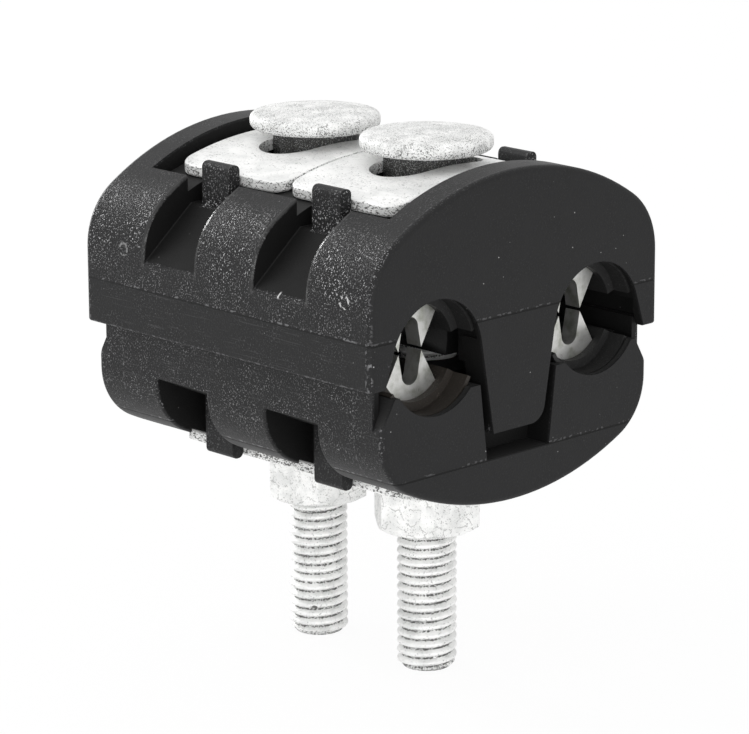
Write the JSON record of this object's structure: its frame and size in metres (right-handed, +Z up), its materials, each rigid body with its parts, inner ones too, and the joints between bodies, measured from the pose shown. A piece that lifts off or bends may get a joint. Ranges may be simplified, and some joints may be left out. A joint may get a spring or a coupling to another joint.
{
  "type": "insulation piercing connector",
  "caption": "Two-bolt insulation piercing connector: two plastic clamp halves close on a main and a tap conductor so toothed blades bite through their insulation.",
  "frame": {"origin": "on the surface that the two bolt tips stand on, centred under the connector", "axes": "+Z up along the bolts, Y along the conductors with -Y the front end, +X to the right seen from the front"},
  "size_m": [0.0524, 0.0544, 0.0727],
  "materials": {
    "nylon": "fine-grained glass-filled black nylon",
    "rubber": "moulded black rubber",
    "brown_rubber": "moulded dark brown rubber",
    "galvanised_plate": "hot-dip galvanised, matt and slightly grainy",
    "galvanised_bolt": "hot-dip galvanised, mottled and pitted",
    "galvanised_nut": "hot-dip galvanised, matt",
    "tinned_blade": "bright tin plating"
  },
  "bodies": {
    "upper_clamp": {"upper_body": "nylon", "top_plate_front": "galvanised_plate", "top_plate_rear": "galvanised_plate", "upper_blade_front": "tinned_blade", "upper_blade_middle": "tinned_blade", "upper_blade_rear": "tinned_blade", "upper_seal_left": "rubber", "upper_seal_right": "rubber"},
    "lower_clamp": {"lower_body": "nylon", "bottom_plate_front": "galvanised_plate", "bottom_plate_rear": "galvanised_plate", "lower_blade_front": "tinned_blade", "lower_blade_middle": "tinned_blade", "lower_blade_rear": "tinned_blade", "lower_seal_left": "brown_rubber", "lower_seal_right": "rubber"},
    "front_bolt": {"bolt_front": "galvanised_bolt"},
    "rear_bolt": {"bolt_rear": "galvanised_bolt"},
    "front_nut": {"nut_front": "galvanised_nut"},
    "rear_nut": {"nut_rear": "galvanised_nut"}
  },
  "joints": [
    {"name": "jaw_opening", "type": "slide", "parent": "upper_clamp", "child": "lower_clamp", "axis": [0, 0, -1], "range_m": [0, 0.0175]},
    {"name": "front_nut_turn", "type": "hinge", "parent": "lower_clamp", "child": "front_nut", "pos_m": [0, -0.0105, 0.02245], "axis": [0, 0, -1], "range_deg": [0, 5040]},
    {"name": "rear_nut_turn", "type": "hinge", "parent": "lower_clamp", "child": "rear_nut", "pos_m": [0, 0.0105, 0.02245], "axis": [0, 0, -1], "range_deg": [0, 5040]},
    {"name": "front_bolt_slide", "type": "slide", "parent": "upper_clamp", "child": "front_bolt", "axis": [0, 0, -1], "range_m": [0, 0.0015]},
    {"name": "rear_bolt_slide", "type": "slide", "parent": "upper_clamp", "child": "rear_bolt", "axis": [0, 0, -1], "range_m": [0, 0.0015]}
  ],
  "couplings": [
    {"joint": "front_nut_turn", "follows": "jaw_opening", "rad_per_m": 5026.5},
    {"joint": "rear_nut_turn", "follows": "jaw_opening", "rad_per_m": 5026.5}
  ]
}
